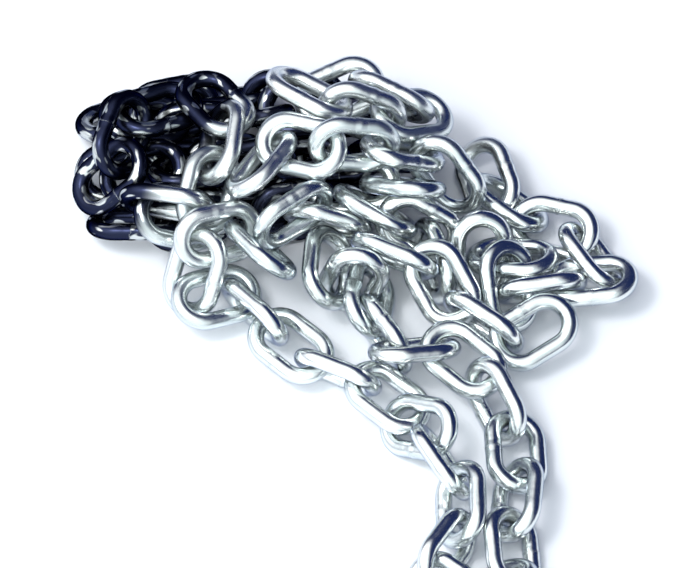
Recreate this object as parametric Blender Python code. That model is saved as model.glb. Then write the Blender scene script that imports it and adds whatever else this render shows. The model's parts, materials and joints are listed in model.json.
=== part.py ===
"""Heap of short-link welded chain, built link by link.

The links that can be seen are separate solids. Each starts where a photograph shows it, and then
all of them are moved, a little at a time, until they hook into their neighbours and nothing
overlaps. The hidden links under them are one core: strands of chain as plain rolls, grown into one
another. Every length is in metres, +Z is up and the heap rests on Z = 0.
"""

import math

import bmesh
import bpy
import numpy as np
from mathutils import Matrix, Vector

# Link sizes: ordinary quarter-inch short-link chain.
WIRE_DIAMETER = 0.0071
INSIDE_LENGTH = 0.0254
INSIDE_WIDTH = 0.0127

# Space left between two wires that touch, and how far a wire may still be off it.
CLEARANCE = 0.0003
FIT_TOLERANCE = 0.00002

# Points along one link: those of each round end, and how finely the wire is rounded.
END_STEPS = 6
WIRE_STEPS = 2

WIRE_RADIUS = WIRE_DIAMETER / 2
END_RADIUS = (INSIDE_WIDTH + WIRE_DIAMETER) / 2
HALF_STRAIGHT = (INSIDE_LENGTH - INSIDE_WIDTH) / 2
LINK_REACH = INSIDE_LENGTH + 2 * WIRE_DIAMETER
CROWN_REACH = INSIDE_LENGTH / 2 + WIRE_RADIUS
TURNING_RADIUS = 0.45 * (INSIDE_LENGTH + WIRE_DIAMETER)

# Where a link's crown can lie in the eye of the link that it hooks into: how far toward the near end
# and past the middle, how far to either side, and how far through.
EYE_NEAR_END = INSIDE_LENGTH / 2 - WIRE_RADIUS - CLEARANCE
EYE_PAST_MIDDLE = 0.002
EYE_SIDEWAYS = 0.0022
THROUGH_EYE = 0.0015

# The photograph: how wide the wire looks in it, which place in it is the origin, and the direction it
# is seen from.
WIRE_IN_PICTURE = 16.9
METRES_PER_PIXEL = WIRE_DIAMETER / WIRE_IN_PICTURE
PICTURE_COLUMN_OF_ORIGIN = 273.0
PICTURE_ROW_OF_ORIGIN = 170.0
VIEW_ELEVATION = math.radians(57.0)
TOWARD_VIEWER = np.array([0.0, -math.cos(VIEW_ELEVATION), math.sin(VIEW_ELEVATION)])
HEIGHT_TRIES = 40

# The core: hidden strands of chain, each a roll about as thick as a link is wide, along a route of
# points (x, y, z) in metres. The floor cuts the lower ones flat.
STRAND_RADIUS = 0.0110
ON_FLOOR = 0.0085
CORE_STRANDS = [
    [
        (-0.070, -0.027, ON_FLOOR),
        (-0.042, -0.029, ON_FLOOR),
        (-0.010, -0.025, ON_FLOOR),
        (0.025, -0.023, ON_FLOOR),
        (0.056, -0.016, ON_FLOOR),
    ],
    [
        (-0.076, -0.004, ON_FLOOR),
        (-0.040, -0.004, ON_FLOOR),
        (0.000, -0.002, ON_FLOOR),
        (0.040, 0.000, ON_FLOOR),
        (0.066, 0.002, ON_FLOOR),
    ],
    [
        (-0.072, 0.018, ON_FLOOR),
        (-0.040, 0.022, ON_FLOOR),
        (0.000, 0.023, ON_FLOOR),
        (0.036, 0.022, ON_FLOOR),
        (0.058, 0.016, ON_FLOOR),
    ],
    [
        (-0.062, -0.014, 0.0180),
        (-0.025, -0.013, 0.0190),
        (0.010, -0.012, 0.0190),
        (0.040, -0.010, 0.0160),
    ],
    [
        (-0.060, 0.008, 0.0180),
        (-0.025, 0.009, 0.0190),
        (0.010, 0.009, 0.0190),
        (0.042, 0.008, 0.0160),
    ],
    [
        (-0.074, -0.018, 0.0200),
        (-0.064, -0.006, 0.0260),
        (-0.066, 0.010, 0.0260),
        (-0.052, 0.021, 0.0250),
        (-0.028, 0.025, 0.0220),
        (0.000, 0.025, 0.0190),
    ],
]
STRAND_STEP = 0.0025
STRAND_SIDES = 14
STRAND_END_RINGS = 4
SHARP_ANGLE = math.radians(40.0)

# How the links are moved, pass by pass. In the free passes they are also drawn to their places in the
# picture and let down, and in the easing passes less and less so. The final passes only clear overlaps
# and close hooks.
FREE_PASSES = 320
EASING_PASSES = 500
FINAL_PASSES = 1500
HOME_PULL = 0.15
PULL_ALONG_SIGHT = 0.05
ROLL_PULL = 0.04
SETTLING_STEP = 0.00004
CLEARING_SHARE = 0.7
HOOK_SHARE = 0.25
THREADING_SHARE = 0.5
FREEING_STEP = 0.0008
GRID = 1e-9

MILLIMETRE = 0.001
QUARTER_TURN = math.radians(90.0)

# The least values that are divided by, and how near the floor a corner counts as on it, in metres.
LEAST_LENGTH = 1e-9
LEAST_SPREAD = 1e-18
ON_PLANE = 1e-6

# Each run of chain is a list of links, and each link hooks into the one before it. A link is given by
# the outermost points of its two ends and by how far it is rolled about its length, in degrees from
# lying face-on to the viewer. An end is picture column, picture row and millimetres above the bed,
# which is the floor or the core, to the middle of the wire.

FRONT_RUN = [
    ((289, 265, 24), (237, 222, 14), 85),
    ((270, 223, 20), (169, 241, 30), -8),
    ((207, 222, 30), (183, 322, 6), 25),
    ((172, 308, 8), (256, 302, 8), -30),
    ((243, 265, 16), (275, 332, 9), 88),
    ((256, 317, 5), (327, 367, 4), -26),
    ((285, 354, 11), (368, 388, 11), 88),
    ((354, 362, 14), (428, 424, 6), -5),
    ((386, 428, 5), (463, 434, 14), -30),
    ((411, 428, 16), (450, 488, 7), 88),
    ((470, 463, 8), (466, 545, 8), 55),
    ((468, 512, 9), (418, 575, 9), -50),
    ((412, 562, 9), (476, 612, 9), 30),
    ((455, 608, 9), (534, 570, 9), -60),
    ((512, 580, 9), (498, 502, 9), 35),
    ((512, 532, 9), (522, 460, 9), -50),
    ((514, 493, 7), (513, 414, 7), 8),
    ((513, 442, 9), (487, 358, 14), -35),
    ((492, 388, 9), (420, 326, 22), 0),
    ((455, 338, 20), (370, 362, 12), 85),
    ((403, 364, 10), (350, 307, 13), 85),
    ((370, 328, 10), (382, 256, 16), 70),
    ((372, 245, 18), (345, 308, 8), -20),
    ((320, 301, 7), (328, 226, 12), 50),
]

MIDDLE_RUN = [
    ((258, 233, 22), (328, 190, 26), 70),
    ((298, 209, 15), (377, 229, 15), 70),
    ((342, 233, 26), (432, 268, 17), 80),
    ((425, 233, 22), (463, 322, 8), 0),
    ((450, 303, 9), (523, 352, 9), 80),
    ((497, 348, 8), (570, 305, 8), -20),
]

TOP_RUN = [
    ((226, 200, 12), (274, 124, 14), -50),
    ((230, 134, 13), (326, 160, 15), 30),
    ((308, 136, 18), (395, 172, 16), 50),
    ((369, 133, 8), (445, 170, 15), 88),
    ((440, 150, 20), (480, 234, 12), -25),
    ((474, 214, 18), (486, 304, 9), 5),
    ((460, 252, 18), (557, 267, 8), -62),
    ((503, 252, 15), (518, 333, 8), -45),
    ((490, 293, 10), (572, 283, 10), 85),
    ((545, 288, 8), (636, 280, 8), -70),
    ((612, 290, 8), (570, 232, 12), 50),
    ((600, 243, 6), (508, 224, 6), 33),
    ((537, 229, 12), (456, 186, 12), 85),
    ((493, 212, 12), (460, 145, 14), -30),
]

BACK_RUN = [
    ((250, 68, 12), (328, 116, 12), 88),
    ((314, 102, 12), (400, 141, 12), 50),
    ((375, 130, 8), (456, 138, 8), -30),
    ((436, 120, 18), (350, 92, 12), 75),
    ((368, 98, 4), (296, 128, 4), 40),
]

CREST_RUN = [
    ((456, 202, 20), (368, 168, 14), 60),
    ((396, 180, 6), (322, 186, 8), -40),
    ((325, 190, 16), (402, 214, 16), 75),
    ((376, 194, 14), (450, 248, 12), 20),
    ((440, 228, 10), (445, 300, 8), 70),
]

INNER_RUN = [
    ((215, 224, 9), (122, 210, 9), 62),
    ((118, 197, 12), (204, 210, 12), 80),
    ((226, 234, 9), (230, 160, 9), 20),
    ((222, 178, 9), (232, 112, 9), -50),
    ((240, 128, 9), (192, 85, 9), 40),
]

RUNS = {
    "front_run": FRONT_RUN,
    "middle_run": MIDDLE_RUN,
    "top_run": TOP_RUN,
    "back_run": BACK_RUN,
    "crest_run": CREST_RUN,
    "inner_run": INNER_RUN,
}

# Links that don't hook into the one before them: the chain between the two lies hidden in the heap.
AFTER_HIDDEN_CHAIN = ["middle_run_03", "top_run_06"]

# Links in the shade of the heap's left and back.
SHADED_LINKS = ["back_run_05", "inner_run_01", "inner_run_02", "inner_run_03", "inner_run_04",
                "inner_run_05"]


def clear_scene():
    """Remove whatever the open file holds."""
    for item in list(bpy.data.objects):
        bpy.data.objects.remove(item, do_unlink=True)


def make_collection(name):
    """Return a new collection linked to the scene."""
    collection = bpy.data.collections.new(name)
    bpy.context.scene.collection.children.link(collection)
    return collection


def metal(name, colour, roughness):
    """Return a metallic material with one colour."""
    material = bpy.data.materials.new(name)
    material.use_nodes = True
    shader = material.node_tree.nodes["Principled BSDF"]
    shader.inputs["Base Color"].default_value = (*colour, 1.0)
    shader.inputs["Roughness"].default_value = roughness
    shader.inputs["Metallic"].default_value = 1.0
    return material


def zinc_plate():
    """Bright zinc on the links."""
    return metal("zinc_plate", (0.78, 0.82, 0.84), 0.22)


def dull_zinc():
    """The darker links in the middle of the heap."""
    return metal("dull_zinc", (0.30, 0.33, 0.38), 0.45)


def link_outline():
    """Return the points of a link's centre line, its length along X and its face along Z."""
    points = []
    for end, first_angle in ((1, -90.0), (-1, 90.0)):
        for step in range(END_STEPS + 1):
            angle = math.radians(first_angle + 180.0 * step / END_STEPS)
            points.append((
                end * HALF_STRAIGHT + END_RADIUS * math.cos(angle),
                END_RADIUS * math.sin(angle),
                0.0,
            ))
    return np.array(points)


def strand_line(route):
    """Return evenly spaced points along a strand's route."""
    corners = np.array(route)
    legs = np.sqrt((np.diff(corners, axis=0) ** 2).sum(axis=1))
    ends = np.concatenate([[0.0], np.cumsum(legs)])
    count = int(ends[-1] / STRAND_STEP) + 1
    places = np.linspace(0.0, ends[-1], count)
    return np.stack([np.interp(places, ends, corners[:, axis]) for axis in range(3)], axis=1)


CORE_LINE = np.concatenate([strand_line(route) for route in CORE_STRANDS])
CORE_STARTS = np.concatenate([np.array(route[:-1]) for route in CORE_STRANDS])
CORE_ALONG = np.concatenate([np.diff(np.array(route), axis=0) for route in CORE_STRANDS])


def bed_height(across, deep):
    """Return the height of the floor or the core at a place in plan."""
    aside = (across - CORE_LINE[:, 0]) ** 2 + (deep - CORE_LINE[:, 1]) ** 2
    rise = np.sqrt(np.maximum(STRAND_RADIUS ** 2 - aside, 0.0))
    heights = np.where(rise > 0.0, CORE_LINE[:, 2] + rise, 0.0)
    return float(heights.max())


def place_from_picture(column, row, lift):
    """Return the point that lies lift millimetres over its bed and is seen at column and row."""
    across = (column - PICTURE_COLUMN_OF_ORIGIN) * METRES_PER_PIXEL
    up_picture = (PICTURE_ROW_OF_ORIGIN - row) * METRES_PER_PIXEL
    height = lift * MILLIMETRE
    for _ in range(HEIGHT_TRIES):
        deep = (up_picture - height * math.cos(VIEW_ELEVATION)) / math.sin(VIEW_ELEVATION)
        wanted = bed_height(across, deep) + lift * MILLIMETRE
        height += (wanted - height) / 2
    return np.array([across, deep, height])


def unit(vector):
    """Return the vector at length 1."""
    return vector / math.sqrt(float((vector ** 2).sum()))


def link_turn(along, turn):
    """Return the rotation that lays a link along a direction, rolled from face-on by turn degrees."""
    length_axis = unit(along)
    face = unit(TOWARD_VIEWER - length_axis * float((TOWARD_VIEWER * length_axis).sum()))
    roll = math.radians(turn)
    normal = face * math.cos(roll) + np.cross(length_axis, face) * math.sin(roll)
    side = np.cross(normal, length_axis)
    return np.stack([length_axis, side, normal], axis=1)


def closest_on_segments(start_a, along_a, start_b, along_b):
    """Return how far along each of two sets of segments their closest points lie, from 0 to 1."""
    between = start_a - start_b
    aa = (along_a * along_a).sum(axis=-1)
    bb = (along_b * along_b).sum(axis=-1)
    ab = (along_a * along_b).sum(axis=-1)
    a_between = (along_a * between).sum(axis=-1)
    b_between = (along_b * between).sum(axis=-1)
    spread = np.maximum(aa * bb - ab * ab, LEAST_SPREAD)
    on_a = np.clip((ab * b_between - a_between * bb) / spread, 0.0, 1.0)
    on_b = np.clip((ab * on_a + b_between) / bb, 0.0, 1.0)
    on_a = np.clip((ab * on_b - a_between) / aa, 0.0, 1.0)
    return on_a, on_b


def core_contacts(starts, along):
    """Return the contacts of straight stretches of wire with the core's nearest strand.

    A contact is the height over the core's surface, the point of the wire and the way outward.
    """
    starts = starts[..., None, :]
    along = along[..., None, :]
    on_wire, on_strand = closest_on_segments(starts, along, CORE_STARTS, CORE_ALONG)
    at = starts + along * on_wire[..., None]
    away = at - CORE_STARTS - CORE_ALONG * on_strand[..., None]
    distance = np.sqrt((away ** 2).sum(axis=-1))
    nearest = distance.argmin(axis=-1)[..., None]
    near = np.take_along_axis(distance, nearest, axis=-1)
    at = np.take_along_axis(at, nearest[..., None], axis=-2)[..., 0, :]
    away = np.take_along_axis(away, nearest[..., None], axis=-2)[..., 0, :]
    return near[..., 0] - STRAND_RADIUS, at, away / np.maximum(near, LEAST_LENGTH)


class Moves:
    """What one pass adds up for each link: shift, turn, number of pushes and shift out of an eye."""

    def __init__(self, count):
        self.shifts = np.zeros((count, 3))
        self.turns = np.zeros((count, 3))
        self.freed = np.zeros((count, 3))
        self.counts = np.zeros(count)


class Heap:
    """All the links, and what moves them clear of one another."""

    def __init__(self):
        self.names = []
        hooked = []
        starts = []
        ends = []
        rotations = []
        for name, run in RUNS.items():
            for number, (start, end, turn) in enumerate(run, start=1):
                link_name = f"{name}_{number:02d}"
                if number > 1 and link_name not in AFTER_HIDDEN_CHAIN:
                    hooked.append((len(self.names) - 1, len(self.names)))
                self.names.append(link_name)
                first = place_from_picture(*start)
                last = place_from_picture(*end)
                starts.append(first)
                ends.append(last)
                rotations.append(link_turn(last - first, turn))
        self.home_starts = np.array(starts)
        self.home_ends = np.array(ends)
        self.home_rotations = np.array(rotations)
        self.centres = (self.home_starts + self.home_ends) / 2
        self.rotations = self.home_rotations.copy()
        self.outline = link_outline()
        self.hooked = np.array(hooked)
        self.hook_table = np.zeros((len(self.names), len(self.names)), dtype=bool)
        self.hook_table[self.hooked[:, 0], self.hooked[:, 1]] = True

    def wire_points(self):
        """Return every link's centre line, as link by point by coordinate."""
        turned = (self.rotations[:, None, :, :] * self.outline[None, :, None, :]).sum(axis=-1)
        return turned + self.centres[:, None, :]

    def near_pairs(self):
        """Return the pairs of links near enough to touch."""
        first, second = np.triu_indices(len(self.names), k=1)
        apart = self.centres[first] - self.centres[second]
        near = (apart ** 2).sum(axis=-1) < (LINK_REACH + CLEARANCE) ** 2
        return first[near], second[near]

    def wire_contacts(self, first, second):
        """Return for all wire stretches of the pairs: distance, both points and direction."""
        points = self.wire_points()
        along = np.roll(points, -1, axis=1) - points
        start_a = points[first][:, :, None, :]
        along_a = along[first][:, :, None, :]
        start_b = points[second][:, None, :, :]
        along_b = along[second][:, None, :, :]
        on_a, on_b = closest_on_segments(start_a, along_a, start_b, along_b)
        at_a = start_a + along_a * on_a[..., None]
        at_b = start_b + along_b * on_b[..., None]
        apart = at_a - at_b
        distance = np.sqrt((apart ** 2).sum(axis=-1))
        return distance, at_a, at_b, apart / np.maximum(distance, LEAST_LENGTH)[..., None]

    def push(self, moves, link, at, direction, amount):
        """Add to each link the shift and the turn of a push at a point."""
        arm = at - self.centres[link]
        twist = np.cross(arm, direction) / TURNING_RADIUS ** 2
        np.add.at(moves.shifts, link, direction * amount[:, None])
        np.add.at(moves.turns, link, twist * amount[:, None])
        np.add.at(moves.counts, link, 1.0)

    def softness(self, link, at, direction):
        """Return how easily a push at a point moves each link."""
        lever = np.cross(at - self.centres[link], direction)
        return 1.0 + (lever ** 2).sum(axis=-1) / TURNING_RADIUS ** 2

    def runs_through(self, eye, wire):
        """Return how often, forward less backward, each wire link runs through each eye link."""
        away = self.wire_points()[wire] - self.centres[eye][:, None, :]
        start = (away[:, :, :, None] * self.rotations[eye][:, None, :, :]).sum(axis=2)
        end = np.roll(start, -1, axis=1)
        crosses = (start[..., 2] > 0.0) != (end[..., 2] > 0.0)
        rise = np.where(crosses, end[..., 2] - start[..., 2], 1.0)
        at = start - (end - start) * (start[..., 2] / rise)[..., None]
        past_straight = np.maximum(np.abs(at[..., 0]) - HALF_STRAIGHT, 0.0)
        inside = past_straight ** 2 + at[..., 1] ** 2 < END_RADIUS ** 2
        return np.where(crosses & inside, np.sign(rise), 0.0).sum(axis=1)

    def thread(self, moves, eye, wire, eye_end):
        """Pull the crown of each wire link into the eye of the link that it has to hook into."""
        tip = self.centres[wire] - eye_end * CROWN_REACH * self.rotations[wire][:, :, 0]
        into_eye = self.rotations[eye]
        place = ((tip - self.centres[eye])[:, :, None] * into_eye).sum(axis=1)
        body = ((self.centres[wire] - self.centres[eye])[:, :, None] * into_eye).sum(axis=1)
        wanted = np.stack([
            np.clip(place[:, 0] * eye_end, -EYE_PAST_MIDDLE, EYE_NEAR_END) * eye_end,
            np.clip(place[:, 1], -EYE_SIDEWAYS, EYE_SIDEWAYS),
            np.where(body[:, 2] > 0.0, -THROUGH_EYE, THROUGH_EYE),
        ], axis=1)
        move = (into_eye * (wanted - place)[:, None, :]).sum(axis=2)
        length = np.sqrt((move ** 2).sum(axis=1))
        direction = move / np.maximum(length, LEAST_LENGTH)[:, None]
        self.share_push(moves, wire, eye, tip, tip, direction, length * THREADING_SHARE)

    def hook(self, moves):
        """Pull links that hook together into each other's eyes, then against each other."""
        first = self.hooked[:, 0]
        second = self.hooked[:, 1]
        threaded = self.runs_through(first, second) != 0.0
        self.thread(moves, first[~threaded], second[~threaded], 1.0)
        self.thread(moves, second[~threaded], first[~threaded], -1.0)
        first = first[threaded]
        second = second[threaded]
        distance, at_a, at_b, direction = self.wire_contacts(first, second)
        nearest = distance.reshape(len(first), -1).argmin(axis=1)
        i, j = np.unravel_index(nearest, distance.shape[1:])
        pair = np.arange(len(first))
        slack = np.minimum(WIRE_DIAMETER + CLEARANCE - distance[pair, i, j], 0.0) * HOOK_SHARE
        self.share_push(moves, first, second, at_a[pair, i, j], at_b[pair, i, j],
                        direction[pair, i, j], slack)

    def part_links(self, moves):
        """Push touching links apart and free links caught in one another; return the deepest overlap."""
        first, second = self.near_pairs()
        is_hook = self.hook_table[first, second]
        threaded = self.runs_through(first, second) != 0.0
        caught = threaded & ~is_hook
        nearer = (self.centres[first] - self.centres[second]) * TOWARD_VIEWER
        side = np.where(nearer.sum(axis=1) > 0.0, 1.0, -1.0)[caught, None]
        step = side * FREEING_STEP * TOWARD_VIEWER
        np.add.at(moves.freed, first[caught], step)
        np.add.at(moves.freed, second[caught], -step)

        settled = threaded == is_hook
        first = first[settled]
        second = second[settled]
        distance, at_a, at_b, direction = self.wire_contacts(first, second)
        wanted = WIRE_DIAMETER + CLEARANCE
        pair, i, j = np.nonzero(distance < wanted)
        overlap = wanted - distance[pair, i, j]
        self.share_push(moves, first[pair], second[pair], at_a[pair, i, j], at_b[pair, i, j],
                        direction[pair, i, j], overlap)
        deepest = float(overlap.max()) if len(overlap) else 0.0
        return deepest if settled.all() else LINK_REACH

    def clear_once(self, settle, home):
        """Move every link once: off its neighbours, onto its hooks, down and toward home."""
        moves = Moves(len(self.names))
        deepest = self.part_links(moves)
        self.hook(moves)
        deepest = max(deepest, self.push_off_bed(moves))
        relax = CLEARING_SHARE * 2.0 / np.maximum(moves.counts, 2.0)
        self.centres = self.centres + moves.shifts * relax[:, None] + moves.freed
        self.centres[:, 2] -= settle
        turned = moves.turns * relax[:, None]
        if home > 0.0:
            shift_home, turn_home = self.way_home()
            self.centres += shift_home * home
            turned += turn_home * home
        self.rotations = self.rotations + np.cross(turned[:, :, None], self.rotations, axis=1)
        self.round_off()
        return deepest

    def way_home(self):
        """Return each link's shift and turn toward its place, mostly as the viewer sees it."""
        shift = np.zeros_like(self.centres)
        turn = np.zeros_like(self.centres)
        for sign, wanted in ((-0.5, self.home_starts), (0.5, self.home_ends)):
            arm = sign * LINK_REACH * self.rotations[:, :, 0]
            miss = wanted - self.centres - arm
            along_sight = (miss * TOWARD_VIEWER).sum(axis=1)[:, None] * TOWARD_VIEWER
            miss = miss - (1.0 - PULL_ALONG_SIGHT) * along_sight
            shift += 0.5 * miss
            turn += 0.5 * np.cross(arm, miss) / (0.5 * LINK_REACH) ** 2
        unroll = 0.5 * np.cross(self.rotations, self.home_rotations, axis=1).sum(axis=2)
        axis = self.rotations[:, :, 0]
        turn += ROLL_PULL / HOME_PULL * (unroll * axis).sum(axis=1)[:, None] * axis
        return shift, turn

    def share_push(self, moves, link_a, link_b, at_a, at_b, direction, overlap):
        """Split a push between the two links of each touching pair."""
        softness = self.softness(link_a, at_a, direction) + self.softness(link_b, at_b, direction)
        amount = overlap / softness
        self.push(moves, link_a, at_a, direction, amount)
        self.push(moves, link_b, at_b, direction, -amount)

    def push_off_bed(self, moves):
        """Push links up off the floor and out of the core; return the deepest overlap."""
        points = self.wire_points()
        up = np.zeros_like(points)
        up[..., 2] = 1.0
        off_floor = self.push_away(moves, points[..., 2] - WIRE_RADIUS, points, up)
        along = np.roll(points, -1, axis=1) - points
        over_core, at, outward = core_contacts(points, along)
        gap = over_core - WIRE_RADIUS - CLEARANCE
        return max(off_floor, self.push_away(moves, gap, at, outward))

    def push_away(self, moves, gap, at, direction):
        """Push links away where the gap is below zero; return the deepest overlap."""
        link, i = np.nonzero(gap < 0.0)
        if len(link) == 0:
            return 0.0
        amount = -gap[link, i] / self.softness(link, at[link, i], direction[link, i])
        self.push(moves, link, at[link, i], direction[link, i], amount)
        return float(-gap[link, i].min())

    def round_off(self):
        """Keep the rotations square and every number on a fine grid, so each run is the same."""
        length_axis = self.rotations[:, :, 0]
        length_axis = length_axis / np.sqrt((length_axis ** 2).sum(axis=1))[:, None]
        side = self.rotations[:, :, 1]
        side = side - length_axis * (side * length_axis).sum(axis=1)[:, None]
        side = side / np.sqrt((side ** 2).sum(axis=1))[:, None]
        normal = np.cross(length_axis, side)
        self.rotations = np.stack([length_axis, side, normal], axis=2)
        self.rotations = np.round(self.rotations / GRID) * GRID
        self.centres = np.round(self.centres / GRID) * GRID

    def fit(self):
        """Clear the links of one another and let them down on what carries them."""
        for _ in range(FREE_PASSES):
            self.clear_once(SETTLING_STEP, HOME_PULL)
        for number in range(EASING_PASSES):
            share = (1.0 - number / EASING_PASSES) ** 2
            self.clear_once(SETTLING_STEP * share, HOME_PULL * share)
        for _ in range(FINAL_PASSES):
            if self.clear_once(0.0, 0.0) < FIT_TOLERANCE:
                break


def make_link(name, centre, rotation, material, collection):
    """Add one link: a round wire along a closed line."""
    curve = bpy.data.curves.new(name, "CURVE")
    curve.dimensions = "3D"
    curve.bevel_depth = WIRE_RADIUS
    curve.bevel_resolution = WIRE_STEPS
    spline = curve.splines.new("POLY")
    outline = link_outline()
    spline.points.add(len(outline) - 1)
    for point, place in zip(spline.points, outline):
        point.co = (*place, 1.0)
    spline.use_cyclic_u = True
    curve.materials.append(material)
    link = bpy.data.objects.new(name, curve)
    turned = Matrix(rotation.tolist()).to_4x4()
    link.location = Vector(centre)
    link.rotation_euler = turned.to_euler()
    collection.objects.link(link)
    return link


def end_rings(tip, outward):
    """Return the rings of a roll's round end from its foot out: centre and share of the full size."""
    rings = []
    for ring in range(1, STRAND_END_RINGS + 1):
        angle = QUARTER_TURN * ring / (STRAND_END_RINGS + 1)
        rings.append((tip + outward * STRAND_RADIUS * math.sin(angle), math.cos(angle)))
    return rings


def roll_rings(line):
    """Return the rings of a roll along a line: centre, direction and share of the full size."""
    first = (line[1] - line[0]).normalized()
    last = (line[-1] - line[-2]).normalized()
    rings = [(centre, first, share) for centre, share in reversed(end_rings(line[0], -first))]
    for number, point in enumerate(line):
        before = line[max(number - 1, 0)]
        after = line[min(number + 1, len(line) - 1)]
        rings.append((point, (after - before).normalized(), 1.0))
    rings.extend((centre, last, share) for centre, share in end_rings(line[-1], last))
    return rings


def make_roll(route):
    """Return a strand as a bmesh: a round roll along its route, with round ends."""
    shape = bmesh.new()
    loops = []
    for centre, direction, share in roll_rings([Vector(point) for point in route]):
        upright = Matrix.Rotation(QUARTER_TURN, 3, "Y")
        turned = direction.to_track_quat("X", "Z").to_matrix() @ upright
        place = Matrix.Translation(centre) @ turned.to_4x4()
        made = bmesh.ops.create_circle(
            shape, segments=STRAND_SIDES, radius=STRAND_RADIUS * share, matrix=place
        )
        corners = set(made["verts"])
        loops.append([edge for edge in shape.edges if corners.issuperset(edge.verts)])
    for near, far in zip(loops, loops[1:]):
        bmesh.ops.bridge_loops(shape, edges=near + far)
    bmesh.ops.holes_fill(shape, edges=loops[0] + loops[-1], sides=STRAND_SIDES)
    bmesh.ops.recalc_face_normals(shape, faces=shape.faces[:])
    return shape


def cut_at_floor(shape):
    """Cut off what lies under the floor and close the cut."""
    cut = bmesh.ops.bisect_plane(
        shape, geom=shape.verts[:] + shape.edges[:] + shape.faces[:], dist=ON_PLANE,
        plane_co=(0, 0, 0), plane_no=(0, 0, -1), clear_outer=True,
    )
    rim = [item for item in cut["geom_cut"] if isinstance(item, bmesh.types.BMEdge)]
    bmesh.ops.holes_fill(shape, edges=rim, sides=0)
    bmesh.ops.recalc_face_normals(shape, faces=shape.faces[:])


def shape_object(name, shape, collection):
    """Add an object from a bmesh, which is freed."""
    mesh = bpy.data.meshes.new(name)
    shape.to_mesh(mesh)
    shape.free()
    item = bpy.data.objects.new(name, mesh)
    collection.objects.link(item)
    return item


def grow_together(body, others):
    """Join other bodies into one by cutting away what lies inside it, then remove them."""
    for other in others:
        union = body.modifiers.new("union", "BOOLEAN")
        union.operation = "UNION"
        union.solver = "EXACT"
        union.object = other
    evaluated = body.evaluated_get(bpy.context.evaluated_depsgraph_get())
    joined = bpy.data.meshes.new_from_object(evaluated)
    body.modifiers.clear()
    body.data = joined
    for other in others:
        bpy.data.objects.remove(other, do_unlink=True)


def make_core(material, collection):
    """Add the core: the hidden strands, grown into one body that stands flat on the floor."""
    rolls = []
    for number, route in enumerate(CORE_STRANDS):
        shape = make_roll(route)
        cut_at_floor(shape)
        name = "core" if number == 0 else "roll"
        rolls.append(shape_object(name, shape, collection))
    core = rolls[0]
    grow_together(core, rolls[1:])
    core.data.materials.clear()
    core.data.materials.append(material)
    core.data.shade_smooth()
    core.data.set_sharp_from_angle(angle=SHARP_ANGLE)
    return core


def main():
    """Build the heap."""
    clear_scene()
    collection = make_collection("chain_heap")
    bright = zinc_plate()
    dull = dull_zinc()
    make_core(dull, collection)
    heap = Heap()
    heap.fit()
    for name, centre, rotation in zip(heap.names, heap.centres, heap.rotations):
        material = dull if name in SHADED_LINKS else bright
        make_link(name, centre, rotation, material, collection)


main()
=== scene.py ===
"""Looks of a heap of bright zinc-plated short-link chain.

Every link that can be seen is a finely modelled welded link in the place of its plain solid. The
core of the heap is replaced by loose strands of the same chain, hooked link into link and pushed
apart until wires overlap by a fraction of a millimetre at most. Lengths are in metres, +Z is up
and the floor is Z = 0.
"""

from __future__ import annotations

import json
import logging
import math
from dataclasses import dataclass, field
from enum import Enum

import bmesh
import bpy
import numpy as np
from mathutils import Matrix, Vector

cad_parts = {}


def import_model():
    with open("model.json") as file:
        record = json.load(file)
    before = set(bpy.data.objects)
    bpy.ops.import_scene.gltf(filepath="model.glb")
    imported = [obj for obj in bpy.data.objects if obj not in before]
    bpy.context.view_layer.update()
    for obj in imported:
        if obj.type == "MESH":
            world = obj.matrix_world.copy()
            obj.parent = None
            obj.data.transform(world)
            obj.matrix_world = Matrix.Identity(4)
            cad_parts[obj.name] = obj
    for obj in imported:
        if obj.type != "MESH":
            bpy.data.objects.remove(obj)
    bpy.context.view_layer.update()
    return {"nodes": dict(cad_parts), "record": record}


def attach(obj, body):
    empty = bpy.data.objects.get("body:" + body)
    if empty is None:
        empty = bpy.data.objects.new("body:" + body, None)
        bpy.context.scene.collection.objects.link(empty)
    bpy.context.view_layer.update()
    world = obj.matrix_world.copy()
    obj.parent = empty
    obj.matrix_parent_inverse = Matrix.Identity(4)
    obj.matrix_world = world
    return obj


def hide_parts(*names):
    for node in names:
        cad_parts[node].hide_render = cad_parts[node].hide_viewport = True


LOG = logging.getLogger("chain_heap")
CORE_NODE = "core"
ROOT = "root"

Socket = bpy.types.NodeSocket
Edge = bmesh.types.BMEdge
Shape = bmesh.types.BMesh
Array = np.ndarray
Triple = tuple[float, float, float]

MILLIMETRES_IN_METRE = 1000.0
QUARTER_TURN = 90.0
UP = (0.0, 0.0, 1.0)
MERGE_DISTANCE = 1e-6
LEAST_LENGTH = 1e-9
LEAST_SPREAD = 1e-18
DECIMALS_READ = 6
DECIMALS_KEPT = 9
TONE_STEP = 0.381966


class Slot(Enum):
    """The record's material slots."""

    BRIGHT = "zinc_plate"
    # The record's dull_zinc slot holds the links meant to look dark in shade; they get the same
    # plating, darkened only by the painted shade.
    SHADED = "dull_zinc"


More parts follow.
